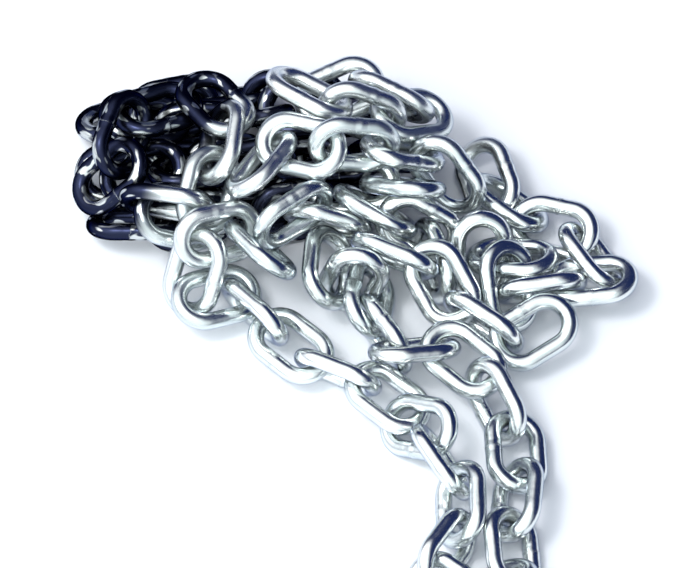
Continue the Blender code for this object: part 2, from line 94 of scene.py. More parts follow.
@dataclass(frozen=True)
class LinkSize:
    """Sizes of one link."""

    wire: float = 0.0071
    inside_length: float = 0.0254
    inside_width: float = 0.0127

    @property
    def wire_radius(self) -> float:
        """Half the wire's thickness."""
        return self.wire / 2

    @property
    def end_radius(self) -> float:
        """Radius of a round end, to the middle of the wire."""
        return (self.inside_width + self.wire) / 2

    @property
    def half_straight(self) -> float:
        """Half the length of a straight side."""
        return (self.inside_length - self.inside_width) / 2

    @property
    def reach(self) -> float:
        """Length over both ends."""
        return self.inside_length + 2 * self.wire

    @property
    def pitch(self) -> float:
        """Length that one link adds to a taut chain."""
        return self.inside_length

    @property
    def crown_reach(self) -> float:
        """From the middle of the link to the middle of the wire at an end."""
        return self.inside_length / 2 + self.wire_radius

    @property
    def around(self) -> float:
        """Length of the wire's middle line, once around the link."""
        return 4 * self.half_straight + 2 * math.pi * self.end_radius


@dataclass(frozen=True)
class Fineness:
    """How many faces a link has."""

    sides: int
    crown_steps: int
    weld_steps: int
    straight_steps: int

    @property
    def whole_side_steps(self) -> int:
        """Steps along the straight side that has no weld."""
        return 4 * self.straight_steps


FINE = Fineness(sides=32, crown_steps=28, weld_steps=12, straight_steps=3)
PLAIN = Fineness(sides=20, crown_steps=16, weld_steps=6, straight_steps=1)


@dataclass(frozen=True)
class Weld:
    """The butt weld in the middle of one straight side, its heights as shares of the wire's radius."""

    swell: float = 0.030
    half_width: float = 0.0012
    undercut: float = 0.010
    undercut_at: float = 0.0026
    undercut_width: float = 0.0007
    reach: float = 0.0040


@dataclass(frozen=True)
class Rise:
    """A value that rises smoothly from its least to 1, over a stretch of the heap in plan."""

    toward: tuple[float, float]
    start: float
    end: float
    least: float = 0.0

    def at(self, place: Vector) -> float:
        """Find the value at a place.

        Args:
            place: The place.

        Returns:
            The value, from 0 to 1.
        """
        along = place.x * self.toward[0] + place.y * self.toward[1]
        share = min(max((along - self.start) / (self.end - self.start), 0.0), 1.0)
        return max(self.least, share * share * (3.0 - 2.0 * share))


# Painted shade: how dark the plating is painted, toward the left and the back; and how dull it is, up
# in the heap.
PAINTED_SHADE = Rise(toward=(-0.8, 0.6), start=0.007, end=0.019)
# Hidden links are painted almost wholly in shade wherever they lie, so the gaps between the visible
# links look dark.
HIDDEN_PAINTED_SHADE = Rise(toward=(-0.8, 0.6), start=0.007, end=0.019, least=0.985)
DULLNESS = Rise(toward=(-0.5, 0.85), start=-0.070, end=-0.030)


@dataclass
class LinkMaker:
    """Makes links of one fineness as bmesh shapes, length along X and face along Z."""

    size: LinkSize
    fineness: Fineness
    shade: Rise
    dullness: Rise = DULLNESS
    weld: Weld = field(default_factory=Weld)

    def make(self, pose: Matrix, number: int) -> Shape:
        """Make one link in place.

        Args:
            pose: Where the link lies.
            number: The link's number, which sets its plating's tone.

        Returns:
            A closed shape with the layers grain, weld, tone, shade and dullness; shade holds the
            painted shade.
        """
        shape = self._sweep()
        self._measure(shape, (number * TONE_STEP) % 1.0)
        bmesh.ops.transform(shape, matrix=pose, verts=shape.verts[:])
        # Each point gets its share of the painted shade, and its dullness.
        for name, rise in (("shade", self.shade), ("dullness", self.dullness)):
            layer = shape.verts.layers.float.new(name)
            for point in shape.verts:
                point[layer] = rise.at(point.co)
        return shape

    def _sweep(self) -> Shape:
        """Sweep the wire once around the link, from the weld back to the weld.

        Returns:
            The closed shape.
        """
        size = self.size
        fineness = self.fineness
        shape = bmesh.new()
        start = Matrix.Translation((0, -size.end_radius, 0)) @ Matrix.Rotation(math.pi / 2, 4, "Y")
        bmesh.ops.create_circle(
            shape, segments=fineness.sides, radius=size.wire_radius, matrix=start
        )
        ring = shape.edges[:]
        rest = size.half_straight - self.weld.reach
        ring = self._push(shape, ring, self.weld.reach, fineness.weld_steps)
        ring = self._push(shape, ring, rest, fineness.straight_steps)
        ring = self._turn(shape, ring, size.half_straight)
        ring = self._push(shape, ring, -2 * size.half_straight, fineness.whole_side_steps)
        ring = self._turn(shape, ring, -size.half_straight)
        ring = self._push(shape, ring, rest, fineness.straight_steps)
        self._push(shape, ring, self.weld.reach, fineness.weld_steps)
        bmesh.ops.remove_doubles(shape, verts=shape.verts[:], dist=MERGE_DISTANCE)
        bmesh.ops.recalc_face_normals(shape, faces=shape.faces[:])
        return shape

    def _push(self, shape: Shape, ring: list[Edge], length: float, steps: int) -> list[Edge]:
        """Extrude a ring of edges along X.

        Args:
            shape: The shape that grows.
            ring: The edges at the end of it.
            length: How far to go.
            steps: In how many steps.

        Returns:
            The ring at the new end.
        """
        return self._spin(shape, ring, (0, 0, 0), (length / steps, 0, 0), 0.0, steps)

    def _turn(self, shape: Shape, ring: list[Edge], middle: float) -> list[Edge]:
        """Turn a ring of edges round one end of the link.

        Args:
            shape: The shape that grows.
            ring: The edges at the end of it.
            middle: Where that round end's middle lies along X.

        Returns:
            The ring at the new end.
        """
        steps = self.fineness.crown_steps
        return self._spin(shape, ring, (middle, 0, 0), (0, 0, 0), math.pi, steps)

    @staticmethod
    def _spin(
        shape: Shape, ring: list[Edge], centre: Triple, step: Triple, angle: float, steps: int
    ) -> list[Edge]:
        """Spin a ring of edges about an axis along Z.

        Args:
            shape: The shape that grows.
            ring: The edges to spin.
            centre: A point on the axis.
            step: Shift at each step.
            angle: Whole turn, in radians.
            steps: Number of steps.

        Returns:
            The ring at the new end.
        """
        made = bmesh.ops.spin(
            shape, geom=ring, cent=centre, axis=UP, dvec=step, angle=angle, steps=steps
        )
        return [item for item in made["geom_last"] if isinstance(item, Edge)]

    def _middle_line(self, place: Vector) -> tuple[Vector, float]:
        """Find the point of the wire's middle line that is nearest to a place.

        Args:
            place: A point on the wire's surface.

        Returns:
            The point, and its distance around the link from the weld.
        """
        size = self.size
        crown = math.pi * size.end_radius
        if abs(place.x) <= size.half_straight:
            side = math.copysign(size.end_radius, place.y)
            along = place.x if side < 0 else 2 * size.half_straight + crown - place.x
            return Vector((place.x, side, 0)), along % size.around
        end = math.copysign(1.0, place.x)
        out = Vector((place.x - end * size.half_straight, place.y, 0)).normalized()
        middle = Vector((end * size.half_straight, 0, 0)) + out * size.end_radius
        angle = math.atan2(out.y, out.x)
        if end > 0:
            along = size.half_straight + (angle + math.pi / 2) * size.end_radius
        else:
            turned = (angle - math.pi / 2) % (2 * math.pi)
            along = 3 * size.half_straight + crown + turned * size.end_radius
        return middle, along

    def _measure(self, shape: Shape, tone: float) -> None:
        """Swell the weld and store what the finish needs at each point.

        Args:
            shape: The swept link.
            tone: Number from 0 to 1 that tells this link's plating from the next one's.
        """
        grain = shape.verts.layers.float_vector.new("grain")
        weld_layer = shape.verts.layers.float.new("weld")
        tone_layer = shape.verts.layers.float.new("tone")
        weld = self.weld
        for point in shape.verts:
            middle, along = self._middle_line(point.co)
            out = point.co - middle
            flat = Vector((middle.x, middle.y, 0)).normalized()
            past = min(along, self.size.around - along)
            bead = math.exp(-((past / weld.half_width) ** 2))
            groove = math.exp(-(((past - weld.undercut_at) / weld.undercut_width) ** 2))
            point[grain] = (out.dot(flat), out.z, along)
            point[weld_layer] = bead
            point[tone_layer] = tone
            point.co = middle + out * (1.0 + weld.swell * bead - weld.undercut * groove)


@dataclass(frozen=True)
class ChainPiece:
    """One named object made of links, which rides on the heap."""

    name: str
    material: bpy.types.Material
    slot: Slot

    def build(self, shapes: list[Shape], node: str) -> bpy.types.Object:
        """Join the links' shapes into the object.

        Args:
            shapes: The shapes, which are freed.
            node: The node that the object takes the place of.

        Returns:
            The object.
        """
        whole = bmesh.new()
        for shape in shapes:
            part = bpy.data.meshes.new("part")
            shape.to_mesh(part)
            shape.free()
            whole.from_mesh(part)
            bpy.data.meshes.remove(part)
        mesh = bpy.data.meshes.new(self.name)
        whole.to_mesh(mesh)
        whole.free()
        mesh.shade_smooth()
        mesh.materials.append(self.material)
        piece = bpy.data.objects.new(self.name, mesh)
        bpy.context.scene.collection.objects.link(piece)
        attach(piece, ROOT)
        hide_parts(node)
        return piece


@dataclass
class LinkPoses:
    """Where links lie: a middle and a rotation for each."""

    centres: Array
    rotations: Array

    def matrix(self, number: int) -> Matrix:
        """Return one link's pose as a matrix."""
        turned = Matrix(self.rotations[number].tolist()).to_4x4()
        return Matrix.Translation(Vector(self.centres[number])) @ turned


@dataclass(frozen=True)
class NodeReader:
    """Finds how the plain links of the frame lie.

    A link looks the same from either end and either face. Its length is taken the way that points
    more along length_way, and its face the way that points more along face_way.
    """

    length_way: Triple = (1.0, 0.3, 0.1)
    face_way: Triple = (0.1, 0.2, 1.0)

    def read(self, nodes: list[bpy.types.Object]) -> LinkPoses:
        """Read the pose of each link.

        Args:
            nodes: The frame's links.

        Returns:
            Their poses, in the same order.
        """
        centres = []
        rotations = []
        for node in nodes:
            places = np.array([point.co[:] for point in node.data.vertices])
            places = np.unique(np.round(places, DECIMALS_READ), axis=0)
            centre = places.mean(axis=0)
            _, axes = np.linalg.eigh(np.cov((places - centre).T))
            length = self._pointing(axes[:, 2], self.length_way)
            normal = self._pointing(axes[:, 0], self.face_way)
            centres.append(centre)
            rotations.append(np.stack([length, np.cross(normal, length), normal], axis=1))
        return LinkPoses(np.array(centres), np.array(rotations))

    @staticmethod
    def _pointing(axis: Array, way: Triple) -> Array:
        """Return the axis or its opposite, whichever points more the given way."""
        return axis if float((axis * np.array(way)).sum()) >= 0.0 else -axis


@dataclass(frozen=True)
class Strand:
    """A length of hidden chain, along a route of points in millimetres, rolled by some degrees."""

    name: str
    route: tuple[Triple, ...]
    roll: float


STRANDS = (
    Strand("lower_front_strand", (
        (-76, -26, 10), (-42, -29, 10), (-10, -25, 10), (25, -23, 10), (64, -14, 10),
    ), 45.0),
    Strand("lower_middle_strand", (
        (-80, -9, 10), (-40, -5, 10), (0, -2, 10), (40, 0, 10), (72, 2, 10),
    ), -45.0),
    Strand("lower_rear_strand", (
        (-76, 10, 10), (-40, 20, 10), (0, 22, 10), (36, 21, 10), (66, 13, 10),
    ), 45.0),
    Strand("upper_front_strand", (
        (-70, -15, 20), (-25, -13, 21), (10, -12, 21), (46, -10, 18),
    ), -45.0),
    Strand("upper_rear_strand", (
        (-70, 8, 20), (-25, 9, 21), (10, 9, 21), (50, 8, 18),
    ), 45.0),
    Strand("left_strand", (
        (-72, -26, 22), (-56, -16, 30), (-68, -1, 28), (-50, 8, 31), (-24, 15, 31),
    ), 20.0),
)


@dataclass
class Moves:
    """What the contacts of one pass ask of each link."""

    shifts: Array
    turns: Array
    freed: Array
    counts: Array

    @classmethod
    def none(cls, count: int) -> Moves:
        """Return no moves for a number of links."""
        shifts, turns, freed = np.zeros((3, count, 3))
        return cls(shifts, turns, freed, np.zeros(count))

    def add(self, link: Array, shift: Array, turn: Array) -> None:
        """Ask links to move.

        Args:
            link: The links' numbers.
            shift: Shift of each.
            turn: Turn of each.
        """
        np.add.at(self.shifts, link, shift)
        np.add.at(self.turns, link, turn)
        np.add.at(self.counts, link, 1.0)


@dataclass
class HiddenChain:
    """The strands of chain that fill the heap, moved until they fit among the visible links.

    The arrays hold the hidden links first, which move, and the fixed ones after them. The fit works
    on a coarse outline of each link, which lies a little inside the round ends.
    """

    size: LinkSize
    fixed: LinkPoses
    clearance: float = 0.0002
    pitch_share: float = 0.97
    turning_share: float = 0.45
    end_steps: int = 6
    free_passes: int = 240
    final_passes: int = 800
    home_pull: float = 0.03
    settling: float = 0.00005
    clearing_share: float = 0.7
    few_contacts: float = 2.0
    hook_share: float = 0.25
    threading_share: float = 0.5
    freeing_step: float = 0.0008
    tolerance: float = 0.00003
    past_middle: float = 0.002
    sideways: float = 0.002
    through_eye: float = 0.0015
    names: list[str] = field(default_factory=list)
    movable: int = 0
    centres: Array = field(init=False)
    rotations: Array = field(init=False)
    home: Array = field(init=False)
    hooks: Array = field(init=False)
    hook_table: Array = field(init=False)
    freedom: Array = field(init=False)
    outline: Array = field(init=False)
    moves: Moves = field(init=False)

    @property
    def turning(self) -> float:
        """Distance from a link's middle at which it turns as easily as it shifts."""
        return self.turning_share * (self.size.inside_length + self.size.wire)

    @property
    def apart(self) -> float:
        """Distance that the middle lines of two wires have to keep."""
        return self.size.wire + self.clearance

    def settle(self) -> LinkPoses:
        """Let the strands down, then push them off one another, the fixed links and the floor.

        Returns:
            The poses of the hidden links.
        """
        self._lay_out()
        for number in range(self.free_passes):
            fading = 1.0 - number / self.free_passes
            self._pass(self.settling, self.home_pull * fading)
        deepest = self.size.reach
        for _ in range(self.final_passes):
            deepest = self._pass(0.0, 0.0)
            if deepest < self.tolerance:
                break
        millimetres = deepest * MILLIMETRES_IN_METRE
        LOG.info("hidden links: %d, deepest overlap %.3f mm", self.movable, millimetres)
        return LinkPoses(self.centres[: self.movable], self.rotations[: self.movable])

    def _lay_out(self) -> None:
        """Set every hidden link at its start along its strand, ahead of the fixed ones."""
        centres = []
        rotations = []
        hooks = []
        for strand in STRANDS:
            places, tangents = self._walk(np.array(strand.route) / MILLIMETRES_IN_METRE)
            for number, (place, tangent) in enumerate(zip(places, tangents)):
                if number > 0:
                    hooks.append((len(centres) - 1, len(centres)))
                roll = strand.roll + QUARTER_TURN * (number % 2)
                centres.append(place)
                rotations.append(self._rotation(tangent, math.radians(roll)))
                self.names.append(strand.name)
        self.movable = len(centres)
        self.centres = np.concatenate([np.array(centres), self.fixed.centres])
        self.rotations = np.concatenate([np.array(rotations), self.fixed.rotations])
        self.home = self.centres.copy()
        self.hooks = np.array(hooks)
        count = len(self.centres)
        self.hook_table = np.zeros((count, count), dtype=bool)
        self.hook_table[self.hooks[:, 0], self.hooks[:, 1]] = True
        self.freedom = np.zeros(count)
        self.freedom[: self.movable] = 1.0
        self.outline = self._outline()

    def _walk(self, route: Array) -> tuple[list[Array], list[Array]]:
        """Step along a route, one link at a time.

        Args:
            route: The route's points, in metres.

        Returns:
            The middle of each link and the way that it points.
        """
        legs = np.diff(route, axis=0)
        lengths = np.sqrt((legs ** 2).sum(axis=1))
        ends = np.concatenate([[0.0], np.cumsum(lengths)])
        step = self.size.pitch * self.pitch_share
        count = int(ends[-1] / step)
        places = []
        for number in range(count + 1):
            at = number * step
            places.append(np.array([np.interp(at, ends, route[:, axis]) for axis in range(3)]))
        middles = [(first + last) / 2 for first, last in zip(places, places[1:])]
        tangents = [last - first for first, last in zip(places, places[1:])]
        return middles, tangents

    @staticmethod
    def _rotation(tangent: Array, roll: float) -> Array:
        """Lay a link along a direction.

        Args:
            tangent: The direction.
            roll: Roll about it from lying flat, in radians.

        Returns:
            The link's rotation.
        """
        length = tangent / np.sqrt((tangent ** 2).sum())
        flat = np.cross(np.array(UP), length)
        flat = flat / np.sqrt((flat ** 2).sum())
        up = np.cross(length, flat)
        normal = up * math.cos(roll) + flat * math.sin(roll)
        return np.stack([length, np.cross(normal, length), normal], axis=1)

    def _outline(self) -> Array:
        """Find points along a link's middle line.

        Returns:
            The points, in the link's own axes.
        """
        points = []
        for end, first in ((1, -QUARTER_TURN), (-1, QUARTER_TURN)):
            for step in range(self.end_steps + 1):
                angle = math.radians(first + 2 * QUARTER_TURN * step / self.end_steps)
                points.append((
                    end * self.size.half_straight + self.size.end_radius * math.cos(angle),
                    self.size.end_radius * math.sin(angle),
                    0.0,
                ))
        return np.array(points)

    def _wire_points(self) -> Array:
        """Return every link's middle line, as link by point by coordinate."""
        turned = (self.rotations[:, None, :, :] * self.outline[None, :, None, :]).sum(axis=-1)
        return turned + self.centres[:, None, :]

    def _near_pairs(self) -> tuple[Array, Array]:
        """Find pairs of links that may touch and of which the first one can move.

        Returns:
            The numbers of the first links and of the second ones.
        """
        first, second = np.triu_indices(len(self.centres), k=1)
        keep = first < self.movable
        first = first[keep]
        second = second[keep]
        apart = self.centres[first] - self.centres[second]
        near = (apart ** 2).sum(axis=-1) < (self.size.reach + self.clearance) ** 2
        return first[near], second[near]

    @staticmethod
    def _closest(
        start_a: Array, along_a: Array, start_b: Array, along_b: Array
    ) -> tuple[Array, Array]:
        """Find where two sets of wire stretches come closest.

        Args:
            start_a: Starts of the first set.
            along_a: From start to end of each.
            start_b: Starts of the second set.
            along_b: From start to end of each.

        Returns:
            How far along each stretch, from 0 to 1.
        """
        between = start_a - start_b
        a_squared = (along_a * along_a).sum(axis=-1)
        b_squared = (along_b * along_b).sum(axis=-1)
        a_on_b = (along_a * along_b).sum(axis=-1)
        a_between = (along_a * between).sum(axis=-1)
        b_between = (along_b * between).sum(axis=-1)
        spread = np.maximum(a_squared * b_squared - a_on_b * a_on_b, LEAST_SPREAD)
        on_a = np.clip((a_on_b * b_between - a_between * b_squared) / spread, 0.0, 1.0)
        on_b = np.clip((a_on_b * on_a + b_between) / b_squared, 0.0, 1.0)
        on_a = np.clip((a_on_b * on_b - a_between) / a_squared, 0.0, 1.0)
        return on_a, on_b

    def _contacts(self, first: Array, second: Array) -> tuple[Array, ...]:
        """Measure every wire stretch of one link against every one of another.

        Args:
            first: First links of the pairs.
            second: Second links of the pairs.

        Returns:
            Distance, the point on each link, and the direction from the second to the first.
        """
        points = self._wire_points()
        along = np.roll(points, -1, axis=1) - points
        start_a = points[first][:, :, None, :]
        along_a = along[first][:, :, None, :]
        start_b = points[second][:, None, :, :]
        along_b = along[second][:, None, :, :]
        on_a, on_b = self._closest(start_a, along_a, start_b, along_b)
        at_a = start_a + along_a * on_a[..., None]
        at_b = start_b + along_b * on_b[..., None]
        apart = at_a - at_b
        distance = np.sqrt((apart ** 2).sum(axis=-1))
        return distance, at_a, at_b, apart / np.maximum(distance, LEAST_LENGTH)[..., None]

    def _runs_through(self, eye: Array, wire: Array) -> Array:
        """Count how often wire links run through the eyes of others.

        Args:
            eye: Links whose eye is looked at.
            wire: Links that may run through it.

        Returns:
            For each pair the times forward less the times backward.
        """
        away = self._wire_points()[wire] - self.centres[eye][:, None, :]
        start = (away[:, :, :, None] * self.rotations[eye][:, None, :, :]).sum(axis=2)
        end = np.roll(start, -1, axis=1)
        crosses = (start[..., 2] > 0.0) != (end[..., 2] > 0.0)
        rise = np.where(crosses, end[..., 2] - start[..., 2], 1.0)
        at = start - (end - start) * (start[..., 2] / rise)[..., None]
        past = np.maximum(np.abs(at[..., 0]) - self.size.half_straight, 0.0)
        inside = past ** 2 + at[..., 1] ** 2 < self.size.end_radius ** 2
        return np.where(crosses & inside, np.sign(rise), 0.0).sum(axis=1)

    def _push(
        self, link_a: Array, link_b: Array, at_a: Array, at_b: Array, direction: Array, overlap: Array
    ) -> None:
        """Split pushes between the links of pairs, by how easily each moves.

        Args:
            link_a: Links pushed along the direction.
            link_b: Links pushed against it.
            at_a: Where the first ones are pushed.
            at_b: Where the second ones are pushed.
            direction: The directions.
            overlap: How far the points have to move apart.
        """
        softness = np.zeros(len(link_a))
        for link, at in ((link_a, at_a), (link_b, at_b)):
            lever = np.cross(at - self.centres[link], direction)
            ease = 1.0 + (lever ** 2).sum(axis=-1) / self.turning ** 2
            softness += ease * self.freedom[link]
        amount = overlap / np.maximum(softness, LEAST_LENGTH)
        for sign, link, at in ((1.0, link_a, at_a), (-1.0, link_b, at_b)):
            share = sign * amount * self.freedom[link]
            twist = np.cross(at - self.centres[link], direction) / self.turning ** 2
            self.moves.add(link, direction * share[:, None], twist * share[:, None])

    def _thread(self, eye: Array, wire: Array, eye_end: float) -> None:
        """Pull the crown of each wire link into the eye of the link that it hooks into.

        Args:
            eye: Links whose eye is entered.
            wire: Links that enter.
            eye_end: Which end of the eye link, 1 or -1.
        """
        size = self.size
        tip = self.centres[wire] - eye_end * size.crown_reach * self.rotations[wire][:, :, 0]
        into_eye = self.rotations[eye]
        place = ((tip - self.centres[eye])[:, :, None] * into_eye).sum(axis=1)
        body = ((self.centres[wire] - self.centres[eye])[:, :, None] * into_eye).sum(axis=1)
        inner_end = size.inside_length / 2 - size.wire_radius - self.clearance
        wanted = np.stack([
            np.clip(place[:, 0] * eye_end, -self.past_middle, inner_end) * eye_end,
            np.clip(place[:, 1], -self.sideways, self.sideways),
            np.where(body[:, 2] > 0.0, -self.through_eye, self.through_eye),
        ], axis=1)
        move = (into_eye * (wanted - place)[:, None, :]).sum(axis=2)
        length = np.sqrt((move ** 2).sum(axis=1))
        direction = move / np.maximum(length, LEAST_LENGTH)[:, None]
        self._push(wire, eye, tip, tip, direction, length * self.threading_share)

    def _hook(self) -> None:
        """Pull neighbours along a strand into each other's eyes, then against each other."""
        first = self.hooks[:, 0]
        second = self.hooks[:, 1]
        threaded = self._runs_through(first, second) != 0.0
        self._thread(first[~threaded], second[~threaded], 1.0)
        self._thread(second[~threaded], first[~threaded], -1.0)
        first = first[threaded]
        second = second[threaded]
        distance, at_a, at_b, direction = self._contacts(first, second)
        nearest = distance.reshape(len(first), -1).argmin(axis=1)
        i, j = np.unravel_index(nearest, distance.shape[1:])
        pair = np.arange(len(first))
        slack = np.minimum(self.apart - distance[pair, i, j], 0.0) * self.hook_share
        self._push(first, second, at_a[pair, i, j], at_b[pair, i, j], direction[pair, i, j], slack)

    def _part(self) -> float:
        """Push touching links apart and free links caught in one another.

        Returns:
            The deepest overlap.
        """
        first, second = self._near_pairs()
        is_hook = self.hook_table[first, second]
        threaded = self._runs_through(first, second) != 0.0
        caught = threaded & ~is_hook
        np.add.at(self.moves.freed, first[caught], np.array(UP) * -self.freeing_step)
        settled = threaded == is_hook
        first = first[settled]
        second = second[settled]
        distance, at_a, at_b, direction = self._contacts(first, second)
        pair, i, j = np.nonzero(distance < self.apart)
        overlap = self.apart - distance[pair, i, j]
        self._push(first[pair], second[pair], at_a[pair, i, j], at_b[pair, i, j],
                   direction[pair, i, j], overlap)
        deepest = float(overlap.max()) if len(overlap) else 0.0
        return deepest if settled.all() else self.size.reach

    def _off_floor(self) -> float:
        """Push links up off the floor.

        Returns:
            The deepest overlap with it.
        """
        points = self._wire_points()[: self.movable]
        over = points[..., 2] - self.size.wire_radius
        link, i = np.nonzero(over < 0.0)
        if len(link) == 0:
            return 0.0
        up = np.tile(np.array(UP), (len(link), 1))
        lever = np.cross(points[link, i] - self.centres[link], up)
        ease = 1.0 + (lever ** 2).sum(axis=-1) / self.turning ** 2
        amount = (-over[link, i] / ease)[:, None]
        self.moves.add(link, up * amount, lever / self.turning ** 2 * amount)
        return float(-over.min())

    def _pass(self, settle: float, home: float) -> float:
        """Move every hidden link once.

        Args:
            settle: How far each one sinks.
            home: Share of the way back to its place in its strand.

        Returns:
            The deepest overlap before the move.
        """
        self.moves = Moves.none(len(self.centres))
        deepest = self._part()
        self._hook()
        deepest = max(deepest, self._off_floor())
        contacts = np.maximum(self.moves.counts, self.few_contacts)
        relax = self.clearing_share * self.few_contacts / contacts
        moved = self.moves.shifts * relax[:, None] + self.moves.freed
        moved[:, 2] -= settle
        moved += (self.home - self.centres) * home
        self.centres = self.centres + moved * self.freedom[:, None]
        turned = (self.moves.turns * relax[:, None] * self.freedom[:, None])[:, :, None]
        self.rotations = self.rotations + np.cross(turned, self.rotations, axis=1)
        self._square()
        return deepest

    def _square(self) -> None:
        """Keep the rotations square and all numbers on a fine grid, so each run is the same."""
        length = self.rotations[:, :, 0]
        length = length / np.sqrt((length ** 2).sum(axis=1))[:, None]
        side = self.rotations[:, :, 1]
        side = side - length * (side * length).sum(axis=1)[:, None]
        side = side / np.sqrt((side ** 2).sum(axis=1))[:, None]
        self.rotations = np.stack([length, side, np.cross(length, side)], axis=2)
        self.rotations = np.round(self.rotations, DECIMALS_KEPT)
        self.centres = np.round(self.centres, DECIMALS_KEPT)


@dataclass(frozen=True)
class Pattern:
    """A pattern of noise, and how far it stands out of the surface."""

    scale: float
    detail: float
    height: float = 0.0


@dataclass(frozen=True)
class Ramp:
    """A range of values, and what its start and its end are turned into."""

    start: float
    at_start: float
    end: float
    at_end: float


@dataclass(frozen=True)
class Nodes:
    """Adds nodes to one tree and wires them up."""

    tree: bpy.types.ShaderNodeTree

    def put(self, value: Socket | Vector | Triple | float, target: Socket) -> None:
        """Link a socket to a target, or set the target to a value.

        Args:
            value: The socket or the value.
            target: The socket that gets it.
        """
        if isinstance(value, Socket):
            self.tree.links.new(value, target)
        elif target.type == "RGBA":
            target.default_value = (*value, 1.0)
        else:
            target.default_value = value

    def maths(self, operation: str, *values: Socket | float) -> Socket:
        """Work out one step of arithmetic.

        Args:
            operation: The step's name.
            values: What goes into it.

        Returns:
            The outcome.
        """
        node = self.tree.nodes.new("ShaderNodeMath")
        node.operation = operation
        for value, target in zip(values, node.inputs):
            self.put(value, target)
        return node.outputs["Value"]

    def vector_maths(self, operation: str, *values: Socket | Vector | Triple) -> Socket:
        """Work out one step of arithmetic with vectors.

        Args:
            operation: The step's name.
            values: What goes into it.

        Returns:
            The outcome, which is one number for a dot product.
        """
        node = self.tree.nodes.new("ShaderNodeVectorMath")
        node.operation = operation
        for value, target in zip(values, node.inputs):
            self.put(value, target)
        return node.outputs["Value" if operation == "DOT_PRODUCT" else "Vector"]

    def attribute(self, name: str, output: str = "Fac") -> Socket:
        """Read one of the links' own layers.

        Args:
            name: The layer.
            output: Which of the node's outputs.

        Returns:
            The layer's value.
        """
        node = self.tree.nodes.new("ShaderNodeAttribute")
        node.attribute_name = name
        return node.outputs[output]

    def noise(self, place: Socket, pattern: Pattern) -> Socket:
        """Add a pattern of noise.

        Args:
            place: Where on the surface.
            pattern: The pattern.

        Returns:
            The pattern's value there.
        """
        node = self.tree.nodes.new("ShaderNodeTexNoise")
        self.put(pattern.scale, node.inputs["Scale"])
        self.put(pattern.detail, node.inputs["Detail"])
        self.put(place, node.inputs["Vector"])
        return node.outputs["Fac"]

    def ramp(self, value: Socket, ramp: Ramp, smooth: bool = False) -> Socket:
        """Turn one range of values into another.

        Args:
            value: The value.
            ramp: The two ranges.
            smooth: Whether it eases in and out.

        Returns:
            What the value becomes.
        """
        node = self.tree.nodes.new("ShaderNodeMapRange")
        if smooth:
            node.interpolation_type = "SMOOTHSTEP"
        self.put(ramp.start, node.inputs["From Min"])
        self.put(ramp.at_start, node.inputs["To Min"])
        self.put(ramp.end, node.inputs["From Max"])
        self.put(ramp.at_end, node.inputs["To Max"])
        self.put(value, node.inputs["Value"])
        return node.outputs["Result"]

    def blend(self, share: Socket, first: Socket | Triple, second: Triple) -> Socket:
        """Blend two tints.

        Args:
            share: How far it goes from the first to the second, from 0 to 1.
            first: The first tint.
            second: The second tint.

        Returns:
            The blended tint.
        """
        node = self.tree.nodes.new("ShaderNodeMix")
        node.data_type = "RGBA"
        self.put(share, node.inputs["Factor"])
        self.put(first, node.inputs["A"])
        self.put(second, node.inputs["B"])
        return node.outputs["Result"]


